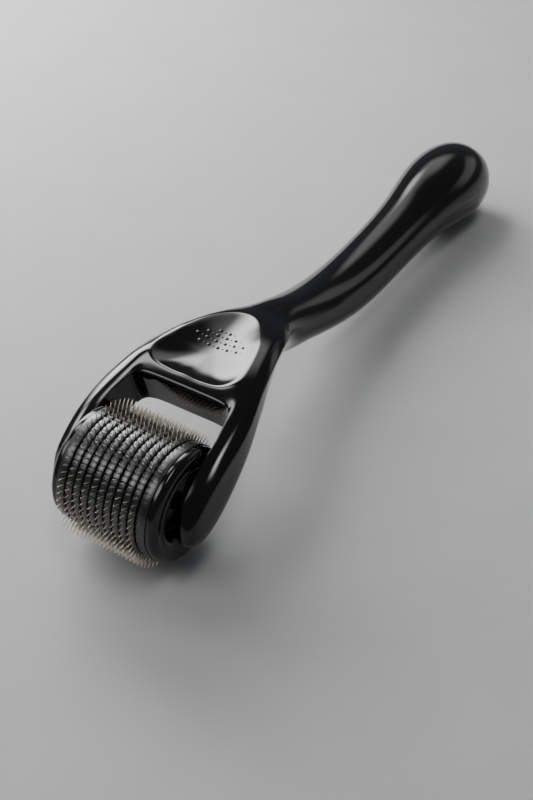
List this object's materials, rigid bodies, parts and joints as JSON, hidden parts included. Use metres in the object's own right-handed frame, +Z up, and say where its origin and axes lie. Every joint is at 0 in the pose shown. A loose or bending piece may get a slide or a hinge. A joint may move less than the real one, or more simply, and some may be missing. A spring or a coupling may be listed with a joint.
{
  "type": "derma roller",
  "caption": "Hand-held skin roller: a glossy S-curved handle with a bulb end and a scooped thumb rest, and a fork that carries a free-spinning drum of stacked needle discs and spacer rings.",
  "frame": {"origin": "on the surface the roller lies on, under the middle of its length and on its centre plane", "axes": "+X along the drum's axle towards the right arm, +Y from the drum towards the handle's bulb, +Z up"},
  "size_m": [0.0292, 0.1344, 0.024],
  "materials": {
    "shell": "high-gloss piano black moulding",
    "cap": "gloss black turned rim with a deep recess",
    "flange": "satin graphite anodised",
    "spacer": "circumferentially brushed graphite",
    "needle": "pale titanium-toned stamped steel",
    "core": "plain black moulding",
    "bushing": "natural acetal",
    "pin": "polished steel"
  },
  "bodies": {
    "handle": {"handle_upper_shell": "shell", "handle_lower_shell": "shell", "axle_pin_left": "pin", "axle_pin_right": "pin"},
    "drum": {"bushing_left": "bushing", "bushing_right": "bushing", "drum_core": "core", "flange_ring_left": "flange", "flange_ring_right": "flange", "end_cap_left": "cap", "end_cap_right": "cap", "needle_disc_01": "needle", "needle_disc_02": "needle", "needle_disc_03": "needle", "needle_disc_04": "needle", "needle_disc_05": "needle", "needle_disc_06": "needle", "needle_disc_07": "needle", "needle_disc_08": "needle", "needle_disc_09": "needle", "needle_disc_10": "needle", "spacer_ring_01": "spacer", "spacer_ring_02": "spacer", "spacer_ring_03": "spacer", "spacer_ring_04": "spacer", "spacer_ring_05": "spacer", "spacer_ring_06": "spacer", "spacer_ring_07": "spacer", "spacer_ring_08": "spacer", "spacer_ring_09": "spacer"}
  },
  "joints": [
    {"name": "drum_spin", "type": "hinge", "parent": "handle", "child": "drum", "pos_m": [0, -0.0552, 0.012], "axis": [1, 0, 0], "continuous": true}
  ]
}
